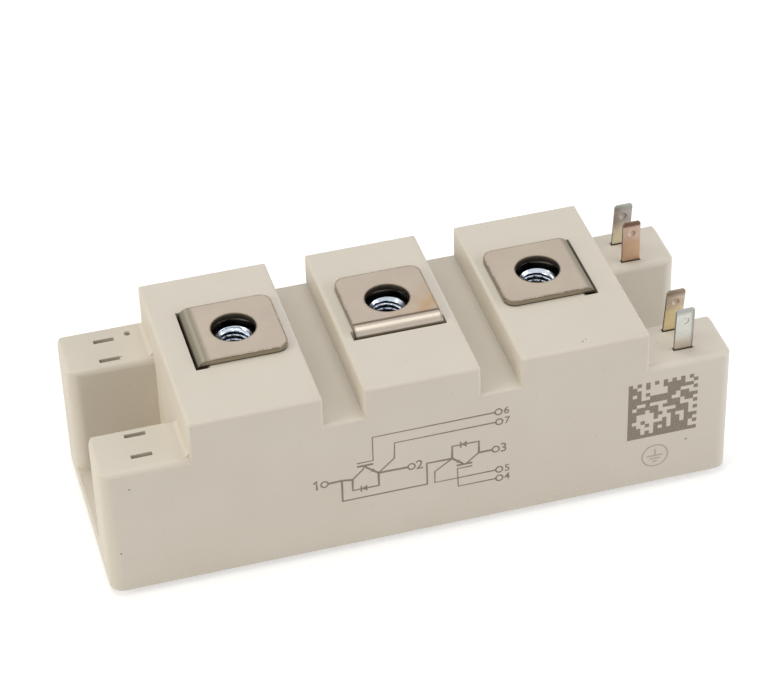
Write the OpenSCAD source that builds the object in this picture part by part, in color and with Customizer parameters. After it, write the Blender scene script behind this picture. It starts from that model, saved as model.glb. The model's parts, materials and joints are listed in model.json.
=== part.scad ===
// Half-bridge power module in the flat 94 x 34 mm package.
// X runs along the module, Y across it, Z up. The origin is the middle of the underside.

/* [Housing] */
// Length of the module
module_len = 94; // [90:0.5:104]
// Width of the module
module_w = 34; // [33:0.5:44]
// Height of the block tops above the underside
block_z = 29; // [26:0.5:34]
// How far the channels lie under the block tops
channel_drop = 5.1; // [3:0.1:8]
// How far the end arms lie under the block tops
shoulder_drop = 6.4; // [5:0.1:9]
// Width of the middle block along the module
mid_block_w = 17.2; // [16.8:0.1:18.4]
// Width of each end block along the module
end_block_w = 19.4; // [19:0.1:21]
// Thickness of the long side walls
side_wall = 2; // [1.5:0.1:2.5]
// Thickness of the end walls
end_wall = 1.7; // [1.2:0.1:2.2]
// Thickness of the walls between a block and its channels
block_wall = 1.2; // [0.9:0.1:1.3]
// Thickness of the roofs
roof_t = 1.8; // [1.2:0.1:2.4]
// Radius of the upright corners of the arms and of the skirt
corner_r = 2; // [1:0.1:2.4]
// Radius of the upper edges of the arms
edge_r = 1; // [0.6:0.1:1.8]
// Radius of the edges and corners of the blocks
block_r = 0.6; // [0.3:0.1:1.3]
// Rounding along the mouths of the channels
channel_r = 0.5; // [0.3:0.1:1]
// Radius of the fillet at the foot of the end blocks
foot_fillet = 0.8; // [0.4:0.1:1.2]

// Diameter of the ejector mark on the rear left arm
mark_d = 1.1; // [0.8:0.1:1.6]
// Depth of the ejector mark
mark_depth = 0.15; // [0.1:0.05:0.3]
// Distance of the ejector mark from the end block and from the back face
mark_inset = 2.6; // [2:0.1:3.2]

/* [Screw recesses] */
// Diameter of the mounting holes
hole_d = 6.4; // [5.5:0.1:6.8]
// Width of the recess between two arms
recess_w = 14.2; // [13:0.1:15]
// Thickness of the plastic floor of the recess
recess_floor = 1; // [0.8:0.1:2]
// Diameter of the bare metal seat for the screw head
seat_d = 11; // [10:0.1:12.6]
// From the end of the module to the seat
seat_end = 1.5; // [1.1:0.1:2.5]
// From the seat to the end block
seat_room = 0.5; // [0.2:0.1:1.5]
// Thickness of the wall between arm and recess
arm_wall = 1.5; // [1:0.1:1.8]

/* [Baseplate and seal] */
// Thickness of the baseplate
plate_t = 3; // [2:0.1:4]
// Height of metal that shows under the housing
plate_reveal = 1; // [0.5:0.1:1.5]
// Thickness of the housing skirt around the baseplate
skirt_t = 0.85; // [0.6:0.05:1.4]
// Gap between skirt and baseplate
skirt_gap = 0.15; // [0.1:0.05:0.3]
// Corner radius of the baseplate
plate_r = 1; // [0.5:0.1:2]
// Thickness of the adhesive
seal_t = 0.15; // [0.1:0.05:0.4]

/* [Main terminals] */
// From the outer face of an end block to the hole of its terminal
terminal_inset = 11; // [10.6:0.1:11.6]
// Offset of the terminals towards the back
terminal_y = 1.6; // [0.8:0.1:2.4]
// Thickness of the busbar sheet
sheet_t = 1; // [0.8:0.1:1.2]
// Inner radius of the busbar bends
bend_r = 0.8; // [0.4:0.1:1]
// Width of the pads across their bend
pad_w = 13.1; // [12:0.1:13.6]
// From hole centre to the free edge of the pad
pad_free = 6.8; // [6:0.1:7.2]
// From hole centre to the outer face of the leg
pad_bend = 7; // [6.9:0.1:7.6]
// Corner radius of the free edge
pad_r = 1.8; // [0.5:0.1:3]
// Diameter of the hole in the pad
pad_hole_d = 6.5; // [5.4:0.1:7]
// Width of the outer busbar feet
foot_w = 8; // [4:0.1:9]
// Width of the foot of the middle busbar
mid_foot_w = 4; // [3:0.1:4.4]
// Length of the feet
foot_len = 4.2; // [3:0.1:4.8]
// Depth under the pad at which the leg gets narrower
leg_neck = 9; // [7:0.1:16]
// Clearance of a leg in its slot
slot_gap = 0.15; // [0.1:0.05:0.3]
// Extra slot length beyond the leg at each end
slot_over = 0.45; // [0.2:0.05:0.5]

/* [Nuts] */
// Width across flats
nut_af = 8; // [7.5:0.1:8.5]
// Height of a nut
nut_h = 4; // [3:0.1:4.7]
// Diameter of the threaded bore
nut_bore = 4.2; // [4.0:0.1:4.4]
// Depth of the lead-in at each end of the bore
nut_lead = 0.5; // [0.2:0.1:0.8]
// How far a loose nut lies below its pad
nut_play = 0.8; // [0.2:0.1:0.9]
// Clearance of a nut in its pocket
pocket_gap = 0.1; // [0.05:0.05:0.25]
// Diameter of the screw clearance under a nut
pilot_d = 5.6; // [5.2:0.1:6.2]
// Depth of the screw clearance under a nut
pilot_depth = 5; // [3:0.1:6]
// Thickness of the boss round and under a pocket
boss_wall = 1; // [0.8:0.05:1.1]
// Thickness of the ribs that carry a boss
rib_t = 1.4; // [1:0.1:2]

/* [Control tabs] */
// Distance from the end of the module to the middle of the tabs
tab_inset = 6.7; // [5.5:0.1:8]
// Width of a tab
tab_w = 2.8; // [2:0.1:3]
// Thickness of a tab
tab_t = 0.5; // [0.4:0.1:0.8]
// Height of a tab above its arm
tab_h = 7.1; // [6:0.1:10]
// Distance from an outer tab to the inner face of the side wall
tab_edge = 1.3; // [0.8:0.1:2]
// Corner chamfer at the tip
tab_tip = 0.3; // [0.2:0.1:0.8]
// Diameter of the detent dimple
dimple_d = 1.1; // [0.8:0.1:1.4]
// Depth of the detent dimple
dimple_depth = 0.15; // [0.1:0.05:0.2]
// From the tip to the middle of the dimple
dimple_drop = 2; // [1.5:0.1:3]
// Clearance of a tab in its slot
tab_gap = 0.15; // [0.1:0.05:0.2]
// Lean of the outer tab at the back, at its tip
back_outer_lean = 0.4; // [0:0.1:1.2]
// Lean of the inner tab at the front, at its tip
front_inner_lean = 0.5; // [0:0.1:1.2]
// Lean of the outer tab at the front, at its tip
front_outer_lean = 0.2; // [0:0.1:1.2]
// Height of the lead inside the arm, above the baseplate
lead_z = 5; // [4:0.1:8]
// Width of the leads inside
lead_w = 2.4; // [1.5:0.1:3]

/* [Substrates] */
// Gap between the two substrates
substrate_gap = 1.5; // [1:0.1:2.5]
// Gap between a substrate and the side walls
substrate_side = 1; // [0.5:0.1:1.5]
// Thickness of the ceramic
ceramic_t = 0.4; // [0.3:0.05:1]
// Thickness of the copper on each side
copper_t = 0.3; // [0.2:0.05:0.4]
// Bare ceramic margin round the copper
copper_inset = 0.7; // [0.5:0.1:1]
// Thickness of the solder under a substrate
solder_t = 0.2; // [0.1:0.05:0.3]
// Width of the emitter tracks
emitter_w = 7.5; // [7.2:0.1:8.2]
// Gap between power tracks
track_gap = 0.8; // [0.6:0.1:1]
// Width of the signal tracks
strip_w = 1; // [0.8:0.1:1.2]
// Gap beside the signal tracks
strip_gap = 0.6; // [0.4:0.1:0.7]

/* [Chips and wires] */
// Width of a transistor chip across the module
igbt_w = 8; // [7:0.1:8.4]
// Gap between a transistor and the foot of a busbar
foot_gap = 0.65; // [0.3:0.05:1.5]
// Side of a diode chip
diode_w = 5.2; // [4.6:0.1:5.4]
// Thickness of the chips
chip_t = 0.2; // [0.1:0.05:0.4]
// Thickness of the solder under a chip
chip_solder_t = 0.1; // [0.05:0.05:0.15]
// Distance between the two chip rows
row_pitch = 11.2; // [10:0.1:11.6]
// Gap between a transistor and its diode
chip_gap = 1.5; // [1.2:0.1:1.8]
// Gap between a diode and the edge of its track
chip_margin = 0.7; // [0.4:0.1:0.9]
// Diameter of the bond wires
wire_d = 0.38; // [0.25:0.01:0.5]
// Bond wires on each chip
wires_per_chip = 4; // [2:1:5]
// Distance between bond wires side by side
wire_pitch = 1.6; // [1:0.05:1.6]
// Height of a bond loop
loop_h = 1.5; // [1.2:0.1:1.6]
// Height of the long gate loops that cross over the others
long_loop_h = 3; // [2.6:0.1:4]
// Height of the gel above the baseplate
gel_h = 11; // [9:0.5:14]

/* [Hidden] */
$fn = 48;
wire_facets = 24;

// The low switch is on the left, at -X, and the high switch on the right
low = -1;
high = 1;
// Overshoot of the cutting tools
over = 1;

// Levels
plate_z = plate_t;
ledge_z = plate_z + seal_t;
recess_z = ledge_z + recess_floor;
skirt_z = plate_reveal;
channel_z = block_z - channel_drop;
shoulder_z = block_z - shoulder_drop;
gel_z = plate_z + gel_h;
lower_copper_z = plate_z + solder_t;
ceramic_z = lower_copper_z + copper_t;
upper_copper_z = ceramic_z + ceramic_t;
track_z = upper_copper_z + copper_t;
chip_z = track_z + chip_solder_t;
chip_top_z = chip_z + chip_t;
pocket_z = block_z - nut_play - nut_h;
pilot_z = pocket_z - pilot_depth;
boss_z = pilot_z - boss_wall;

// Places along the module
arm_len = seat_end + seat_d + seat_room;
hole_x = module_len / 2 - seat_end - seat_d / 2;
end_x = module_len / 2 - arm_len;
mid_x = end_x - end_block_w / 2;
hall_x = end_x - end_wall;
hall_y = module_w / 2 - side_wall;
arm_y = recess_w / 2 + arm_wall;
arm_end_x = module_len / 2 - end_wall;
tab_x = module_len / 2 - tab_inset;
tab_inner_y = arm_y + tab_gap + tab_t / 2;
tab_outer_y = hall_y - tab_edge;
// How far the arms reach into the end blocks
arm_root = 2 * corner_r;

// Baseplate
plate_len = module_len - 2 * (skirt_t + skirt_gap);
plate_w = module_w - 2 * (skirt_t + skirt_gap);

// Boss that holds a nut
nut_corner_r = (nut_af / 2 + pocket_gap) / cos(30);
boss_r = nut_corner_r + boss_wall;

// Busbars
bend_out_r = bend_r + sheet_t;
leg_h = block_z - track_z;
slot_bevel = bend_r + slot_gap;
terminal_x = end_x - terminal_inset;
leg_x = terminal_x + pad_bend;

// Substrates, measured outwards from the middle of the module
substrate_x0 = substrate_gap / 2;
substrate_x1 = leg_x;
substrate_y = hall_y - substrate_side;
track_x0 = substrate_x0 + copper_inset;
track_x1 = substrate_x1 - copper_inset;
emitter_x = track_x0 + emitter_w;
collector_x = emitter_x + track_gap;
gate_y1 = substrate_y - copper_inset;
gate_y0 = gate_y1 - strip_w;
sense_y1 = gate_y0 - strip_gap;
sense_y0 = sense_y1 - strip_w;
power_y = sense_y0 - strip_gap;
gate_y = (gate_y0 + gate_y1) / 2;
sense_y = (sense_y0 + sense_y1) / 2;

// Chips, the transistors filling the room between diodes and busbar feet
diode_x = collector_x + chip_margin + diode_w / 2;
igbt_x0 = diode_x + diode_w / 2 + chip_gap;
igbt_x1 = leg_x - foot_len - foot_gap;
igbt_x = (igbt_x0 + igbt_x1) / 2;
igbt_len = igbt_x1 - igbt_x0;

// Bond places
stitch = 0.8;
pad_margin = 0.6;
landing_x = emitter_x - stitch - wire_d / 2;
link_x = track_x0 + stitch;
gate_pad_x = igbt_x0 + pad_margin;
gate_pad_y = igbt_w / 2 - pad_margin;
lead_x = track_x1 - stitch - lead_w;
mid_foot_x = -(track_x0 + landing_x) / 2;

// Rectangle with rounded corners, centred
module rounded_rect(x, y, r) {
    square([x - 2 * r, y], center = true);
    square([x, y - 2 * r], center = true);
    for (sx = [-1, 1], sy = [-1, 1])
        translate([sx * (x / 2 - r), sy * (y / 2 - r)]) circle(r);
}

// Rectangle standing on the X axis with its two upper corners rounded
module arch_rect(w, h, r) {
    translate([-w / 2, 0]) square([w, h - r]);
    translate([r - w / 2, 0]) square([w - 2 * r, h]);
    for (s = [-1, 1]) translate([s * (w / 2 - r), h - r]) circle(r);
}

// Block between two places with upright corners of one radius and upper edges of another
module soft_block(x0, x1, y0, y1, z0, z1, corner, edge) {
    x = x1 - x0;
    y = y1 - y0;
    z = z1 - z0;
    translate([(x0 + x1) / 2, (y0 + y1) / 2, z0])
        intersection() {
            linear_extrude(z) rounded_rect(x, y, corner);
            rotate([90, 0, 0]) linear_extrude(y, center = true) arch_rect(x, z, edge);
            rotate([90, 0, 90]) linear_extrude(x, center = true) arch_rect(y, z, edge);
        }
}

// Plain box between two places
module slab(x0, x1, y0, y1, z0, z1) {
    translate([x0, y0, z0]) cube([x1 - x0, y1 - y0, z1 - z0]);
}

// Puts a thing that is drawn on the right onto the wanted side
module on_side(side) {
    if (side == low) mirror([1, 0, 0]) children();
    else children();
}

// Turns a thing drawn with its bend towards -X to the place of one main terminal
module at_terminal(i) {
    translate([i * terminal_x, terminal_y, 0])
        if (i == 0) rotate([0, 0, 90]) children();
        else on_side(-i) children();
}

// ---- Housing ----

module housing_outside() {
    translate([0, 0, skirt_z])
        linear_extrude(recess_z - skirt_z) rounded_rect(module_len, module_w, corner_r);
    soft_block(-mid_x, mid_x, -module_w / 2, module_w / 2, skirt_z, channel_z,
               channel_r, channel_r);
    for (i = [-1:1]) {
        w = i == 0 ? mid_block_w : end_block_w;
        soft_block(i * mid_x - w / 2, i * mid_x + w / 2, -module_w / 2, module_w / 2,
                   skirt_z, block_z, block_r, block_r);
    }
    for (side = [low, high], s = [-1, 1]) mirror([0, s < 0 ? 1 : 0, 0]) on_side(side) {
        soft_block(end_x - arm_root, module_len / 2, recess_w / 2, module_w / 2,
                   skirt_z, shoulder_z, corner_r, edge_r);
        block_foot_fillet();
    }
}

// Hollow fillet where an end block rises from an arm
module block_foot_fillet() {
    translate([end_x, module_w / 2 - edge_r, shoulder_z]) rotate([90, 0, 0])
        linear_extrude(module_w / 2 - recess_w / 2 - 2 * edge_r) difference() {
            translate([-edge_r, -edge_r]) square(foot_fillet + edge_r);
            translate([foot_fillet, foot_fillet]) circle(foot_fillet);
            translate([foot_fillet, -edge_r]) square(edge_r);
        }
}

// Plan of the inner space at the baseplate
module hall_outline() {
    square([2 * hall_x, 2 * hall_y], center = true);
    for (side = [low, high], s = [-1, 1]) mirror([0, s < 0 ? 1 : 0, 0]) on_side(side)
        arm_outline();
}

module arm_outline() {
    translate([hall_x - over, arm_y]) square([arm_end_x - hall_x + over, hall_y - arm_y]);
}

// Inner space of the housing, without its bosses and ribs
module hall() {
    translate([0, 0, plate_z]) {
        linear_extrude(shoulder_z - roof_t - plate_z) hall_outline();
        linear_extrude(channel_z - roof_t - plate_z)
            square([2 * hall_x, 2 * hall_y], center = true);
        for (i = [-1:1]) {
            x0 = i == 0 ? -mid_block_w / 2 + block_wall
               : i == 1 ? end_x - end_block_w + block_wall : -hall_x;
            translate([x0, -hall_y]) linear_extrude(block_z - roof_t - plate_z)
                square([i == 0 ? mid_block_w - 2 * block_wall
                               : end_block_w - block_wall - end_wall, 2 * hall_y]);
        }
    }
}

// Round boss for a nut, carried by ribs on the three sides away from the leg
module nut_boss() {
    translate([0, 0, boss_z]) {
        cylinder(r = boss_r, h = block_z - roof_t / 2 - boss_z);
        for (a = [-90, 0, 90]) rotate(a) translate([0, -rib_t / 2, 0])
            cube([pad_bend + module_w, rib_t, block_z - roof_t / 2 - boss_z]);
    }
}

// Ribs reach only as far as the walls of their own block
module bosses() {
    for (i = [-1:1]) {
        w = i == 0 ? mid_block_w : end_block_w;
        intersection() {
            at_terminal(i) nut_boss();
            slab(i * mid_x - w / 2 + block_wall / 2, i * mid_x + w / 2 - block_wall / 2,
                 side_wall / 2 - module_w / 2, module_w / 2 - side_wall / 2, boss_z, block_z);
        }
    }
}

module nut_pocket() {
    translate([0, 0, pocket_z]) rotate(30)
        cylinder(r = nut_corner_r, h = nut_play + nut_h + over, $fn = 6);
    translate([0, 0, pilot_z]) cylinder(d = pilot_d, h = pilot_depth + over);
}

// Slot for a leg, with a bevel under the bend
module leg_slot() {
    w = pad_w + 2 * slot_over;
    slab(-pad_bend - slot_gap, -pad_bend + sheet_t + slot_gap, -w / 2, w / 2,
         block_z - roof_t - over, block_z + over);
    rotate([90, 0, 0]) linear_extrude(w, center = true)
        translate([-pad_bend + sheet_t + slot_gap, block_z])
            polygon([[-over, -slot_bevel - over], [-over, over], [slot_bevel + over, over]]);
}

module tab_slot(y) {
    slab(tab_x - tab_w / 2 - tab_gap, tab_x + tab_w / 2 + tab_gap,
         y - tab_t / 2 - tab_gap, y + tab_t / 2 + tab_gap,
         shoulder_z - roof_t - over, shoulder_z + over);
}

module housing() {
    color([0.83, 0.80, 0.74]) difference() {
        housing_outside();
        difference() {
            hall();
            bosses();
        }
        translate([0, 0, -over])
            linear_extrude(ledge_z + over)
                rounded_rect(plate_len + 2 * skirt_gap, plate_w + 2 * skirt_gap, plate_r + skirt_gap);
        for (i = [-1:1]) at_terminal(i) {
            nut_pocket();
            leg_slot();
        }
        for (side = [low, high], s = [-1, 1]) mirror([0, s < 0 ? 1 : 0, 0]) on_side(side) {
            tab_slot(tab_inner_y);
            tab_slot(tab_outer_y);
        }
        for (s = [-1, 1]) translate([s * hole_x, 0, ledge_z - over])
            cylinder(d = seat_d, h = recess_floor + 2 * over);
        translate([-end_x - mark_inset, module_w / 2 - mark_inset, shoulder_z - mark_depth])
            cylinder(d = mark_d, h = over);
    }
}

// ---- Baseplate and seal ----

module baseplate() {
    color([0.78, 0.78, 0.76]) difference() {
        linear_extrude(plate_t) rounded_rect(plate_len, plate_w, plate_r);
        for (s = [-1, 1]) translate([s * hole_x, 0, -over])
            cylinder(d = hole_d, h = plate_t + 2 * over);
    }
}

module seal() {
    color([0.93, 0.93, 0.90]) translate([0, 0, plate_z]) linear_extrude(seal_t) difference() {
        rounded_rect(plate_len, plate_w, plate_r);
        hall_outline();
        for (s = [-1, 1]) translate([s * hole_x, 0]) circle(d = seat_d);
    }
}

// ---- Main terminals ----

// Quarter of a ring in the corner towards -X and +Y
module quarter_ring(r_in, r_out) {
    intersection() {
        difference() {
            circle(r_out);
            circle(r_in);
        }
        translate([-r_out, 0]) square(r_out);
    }
}

// Side view of a bent busbar, with the hole centre at X = 0 and the pad on Y = 0
module busbar_side() {
    bend_x = bend_out_r - pad_bend;
    translate([bend_x, 0]) square([pad_free - bend_x, sheet_t]);
    translate([bend_x, -bend_r]) quarter_ring(bend_r, bend_out_r);
    translate([-pad_bend, bend_out_r - leg_h]) square([sheet_t, leg_h - bend_out_r - bend_r]);
    translate([bend_x, bend_out_r - leg_h]) mirror([0, 1]) quarter_ring(bend_r, bend_out_r);
    translate([bend_x, -leg_h]) square([foot_len - bend_out_r, sheet_t]);
}

module busbar(foot_y, foot_size) {
    color([0.72, 0.68, 0.62]) translate([0, 0, block_z]) difference() {
        rotate([90, 0, 0]) linear_extrude(pad_w, center = true) busbar_side();
        translate([0, 0, -over]) cylinder(d = pad_hole_d, h = sheet_t + 2 * over);
        for (s = [-1, 1]) translate([pad_free - pad_r, s * (pad_w / 2 - pad_r), -over])
            linear_extrude(sheet_t + 2 * over) difference() {
                translate([0, s < 0 ? -pad_r - over : 0]) square(pad_r + over);
                circle(pad_r);
            }
        slab(-pad_bend - over, foot_len, -pad_w, foot_y - foot_size / 2, -leg_h - over, -leg_neck);
        slab(-pad_bend - over, foot_len, foot_y + foot_size / 2, pad_w, -leg_h - over, -leg_neck);
    }
}

module phase_terminal() {
    at_terminal(-1) busbar(0, foot_w);
}

module negative_terminal() {
    at_terminal(0) busbar(-mid_foot_x, mid_foot_w);
}

module positive_terminal() {
    at_terminal(1) busbar(0, foot_w);
}

// ---- Nuts ----

module hex_nut() {
    r = nut_af / 2;
    corner = r / cos(30);
    bevel = (corner - r) * tan(30);
    color([0.72, 0.77, 0.82]) translate([0, 0, pocket_z]) difference() {
        intersection() {
            rotate(30) cylinder(r = corner, h = nut_h, $fn = 6);
            rotate_extrude() polygon([
                [0, 0], [r, 0], [corner, bevel], [corner, nut_h - bevel], [r, nut_h], [0, nut_h],
            ]);
        }
        translate([0, 0, -over]) cylinder(d = nut_bore, h = nut_h + 2 * over);
        for (end = [0, 1]) translate([0, 0, end * nut_h]) mirror([0, 0, end]) rotate_extrude()
            polygon([
                [0, -over], [nut_bore / 2 + nut_lead + over, -over], [nut_bore / 2, nut_lead], [0, nut_lead],
            ]);
    }
}

// ---- Control tabs ----

// Blade above the arm, seen along Y, leaning by some distance at its tip
module blade_front(lean) {
    polygon([
        [-tab_w / 2, 0], [tab_w / 2, 0],
        [tab_w / 2 + lean, tab_h - tab_tip], [tab_w / 2 + lean - tab_tip, tab_h],
        [lean + tab_tip - tab_w / 2, tab_h], [lean - tab_w / 2, tab_h - tab_tip],
    ]);
}

// Blade seen along X, with its tip thinned to a wedge
module blade_side() {
    polygon([
        [-tab_t / 2, 0], [tab_t / 2, 0], [tab_t / 2, tab_h - 2 * tab_tip], [tab_t / 4, tab_h],
        [-tab_t / 4, tab_h], [-tab_t / 2, tab_h - 2 * tab_tip],
    ]);
}

module blade(lean) {
    tilt = lean * (tab_h - dimple_drop) / tab_h;
    difference() {
        intersection() {
            rotate([90, 0, 0]) linear_extrude(tab_t, center = true) blade_front(lean);
            rotate([90, 0, 90]) linear_extrude(2 * (tab_w + tab_h), center = true) blade_side();
        }
        translate([tilt, dimple_depth - tab_t / 2, tab_h - dimple_drop]) rotate([90, 0, 0])
            cylinder(d = dimple_d, h = over);
    }
}

// One control tab: blade, strip down through the arm, lead along it, step across and leg on its track
module control_tab(y, land_y, lean) {
    z = plate_z + lead_z;
    y0 = min(y, land_y) - tab_t / 2;
    y1 = max(y, land_y) + tab_t / 2;
    color([0.76, 0.72, 0.66]) {
        translate([tab_x, y, shoulder_z]) blade(lean);
        slab(tab_x - tab_w / 2, tab_x + tab_w / 2, y - tab_t / 2, y + tab_t / 2, z, shoulder_z);
        slab(lead_x, tab_x, y - tab_t / 2, y + tab_t / 2, z, z + lead_w);
        slab(lead_x, lead_x + lead_w, y0, y1, z, z + tab_t);
        slab(lead_x, lead_x + lead_w, land_y - tab_t / 2, land_y + tab_t / 2, track_z, z + tab_t);
    }
}

module gate_tab_high() {
    control_tab(tab_outer_y, gate_y, back_outer_lean);
}

module emitter_tab_high() {
    control_tab(tab_inner_y, sense_y, 0);
}

module emitter_tab_low() {
    control_tab(-tab_inner_y, -sense_y, front_inner_lean);
}

module gate_tab_low() {
    control_tab(-tab_outer_y, -gate_y, front_outer_lean);
}

// ---- Substrates ----

module copper_field(z, t) {
    slab(track_x0, track_x1, -gate_y1, gate_y1, z, z + t);
}

module substrate_solder(side) {
    color([0.66, 0.67, 0.68]) on_side(side) copper_field(plate_z, solder_t);
}

module lower_copper(side) {
    color([0.80, 0.52, 0.36]) on_side(side) copper_field(lower_copper_z, copper_t);
}

module ceramic(side) {
    color([0.95, 0.95, 0.93]) on_side(side)
        slab(substrate_x0, substrate_x1, -substrate_y, substrate_y, ceramic_z, upper_copper_z);
}

module track(x0, x1, y0, y1) {
    slab(x0, x1, y0, y1, upper_copper_z, track_z);
}

module tracks(side) {
    color([0.80, 0.52, 0.36]) on_side(side) {
        track(track_x0, track_x1, -gate_y1, -gate_y0);
        if (side == low) {
            track(collector_x, track_x1, -power_y, gate_y1);
            track(track_x0, collector_x, sense_y0, gate_y1);
            track(track_x0, emitter_x, -sense_y1, power_y);
        } else {
            track(collector_x, track_x1, -power_y, power_y);
            track(track_x0, emitter_x, -power_y, gate_y1);
            track(collector_x, track_x1, gate_y0, gate_y1);
            track(collector_x, track_x1, sense_y0, sense_y1);
            track(track_x0, track_x1, -sense_y1, -sense_y0);
        }
    }
}

// ---- Chips, row 1 at the back and row -1 at the front ----

module chip(side, row, x, len, w, z, t) {
    on_side(side)
        slab(x - len / 2, x + len / 2, (row * row_pitch - w) / 2, (row * row_pitch + w) / 2, z, z + t);
}

module igbt(side, row) {
    color([0.35, 0.37, 0.42]) chip(side, row, igbt_x, igbt_len, igbt_w, chip_z, chip_t);
}

module diode(side, row) {
    color([0.45, 0.46, 0.48]) chip(side, row, diode_x, diode_w, diode_w, chip_z, chip_t);
}

module chip_solder(side) {
    color([0.66, 0.67, 0.68]) for (row = [-1, 1]) {
        chip(side, row, igbt_x, igbt_len, igbt_w, track_z, chip_solder_t);
        chip(side, row, diode_x, diode_w, diode_w, track_z, chip_solder_t);
    }
}

// ---- Bond wires ----

// Wire from the origin along +X, up, over and down again, ending lower by drop
module bond_wire(span, drop = 0, h = loop_h) {
    r = min(h, (span - wire_d) / 2);
    rotate([90, 0, 0]) {
        translate([span - r, 0]) rotate_extrude(angle = 90, $fn = wire_facets) translate([r, 0])
            circle(d = wire_d);
        translate([r, 0]) mirror([1, 0]) rotate_extrude(angle = 90, $fn = wire_facets) translate([r, 0])
            circle(d = wire_d);
    }
    translate([r, 0, r]) rotate([0, 90, 0]) cylinder(d = wire_d, h = span - 2 * r, $fn = wire_facets);
    if (drop > 0) translate([span, 0, -drop]) cylinder(d = wire_d, h = drop, $fn = wire_facets);
}

module emitter_wires(side) {
    first = -(wires_per_chip - 1) / 2 * wire_pitch;
    color([0.88, 0.88, 0.88]) on_side(side)
        for (row = [-1, 1], i = [0:wires_per_chip - 1])
            translate([0, row * row_pitch / 2 + first + i * wire_pitch, chip_top_z]) {
                translate([igbt_x, 0, 0]) mirror([1, 0, 0]) bond_wire(igbt_x - diode_x - stitch);
                translate([diode_x - stitch, 0, 0]) mirror([1, 0, 0])
                    bond_wire(diode_x - stitch - landing_x, chip_top_z - track_z);
            }
}

// Wires that take the middle point of the bridge from one substrate to the other
module link_wires() {
    room = gate_y1 - sense_y0 - wire_d;
    color([0.88, 0.88, 0.88]) for (i = [0:wires_per_chip - 1])
        translate([-link_x, sense_y0 + wire_d + (room - wire_d) * i / (wires_per_chip - 1), track_z])
            bond_wire(2 * link_x);
}

// Gate wire from a chip to its gate track at the edge of the substrate
module gate_wire(x, y, toward, h) {
    translate([x, y, chip_top_z]) rotate(toward * 90)
        bond_wire(abs(toward * gate_y - y), chip_top_z - track_z, h);
}

module signal_wires_low() {
    color([0.88, 0.88, 0.88]) {
        gate_wire(-igbt_x, -row_pitch / 2 - gate_pad_y, -1, loop_h);
        gate_wire(-gate_pad_x, row_pitch / 2 - gate_pad_y, -1, long_loop_h);
        for (y = [-gate_y, -sense_y]) translate([-link_x, y, track_z]) bond_wire(2 * link_x);
    }
}

module signal_wires_high() {
    sense_x = emitter_x - stitch;
    color([0.88, 0.88, 0.88]) {
        gate_wire(igbt_x, row_pitch / 2 + gate_pad_y, 1, loop_h);
        gate_wire(gate_pad_x, gate_pad_y - row_pitch / 2, 1, long_loop_h);
        translate([sense_x, sense_y, track_z]) bond_wire(collector_x + stitch - sense_x);
    }
}

// ---- Gel over the chips ----

module gel() {
    color([0.85, 0.90, 0.92, 0.6]) difference() {
        intersection() {
            hall();
            slab(-module_len, module_len, -module_w, module_w, plate_z, gel_z);
        }
        for (side = [low, high]) {
            substrate_solder(side);
            lower_copper(side);
            ceramic(side);
            tracks(side);
            chip_solder(side);
            for (row = [-1, 1]) {
                igbt(side, row);
                diode(side, row);
            }
            emitter_wires(side);
        }
        link_wires();
        signal_wires_low();
        signal_wires_high();
        phase_terminal();
        negative_terminal();
        positive_terminal();
        gate_tab_high();
        emitter_tab_high();
        emitter_tab_low();
        gate_tab_low();
    }
}

baseplate();
seal();
housing();
phase_terminal();
negative_terminal();
positive_terminal();
at_terminal(-1) hex_nut();  // phase_nut
at_terminal(0) hex_nut();  // negative_nut
at_terminal(1) hex_nut();  // positive_nut
gate_tab_high();
emitter_tab_high();
emitter_tab_low();
gate_tab_low();
substrate_solder(low);  // substrate_solder_low
substrate_solder(high);  // substrate_solder_high
lower_copper(low);  // lower_copper_low
lower_copper(high);  // lower_copper_high
ceramic(low);  // ceramic_low
ceramic(high);  // ceramic_high
tracks(low);  // tracks_low
tracks(high);  // tracks_high
chip_solder(low);  // chip_solder_low
chip_solder(high);  // chip_solder_high
igbt(low, 1);  // igbt_low_a
igbt(low, -1);  // igbt_low_b
igbt(high, 1);  // igbt_high_a
igbt(high, -1);  // igbt_high_b
diode(low, 1);  // diode_low_a
diode(low, -1);  // diode_low_b
diode(high, 1);  // diode_high_a
diode(high, -1);  // diode_high_b
emitter_wires(low);  // emitter_wires_low
emitter_wires(high);  // emitter_wires_high
link_wires();
signal_wires_low();
signal_wires_high();
gel();
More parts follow.
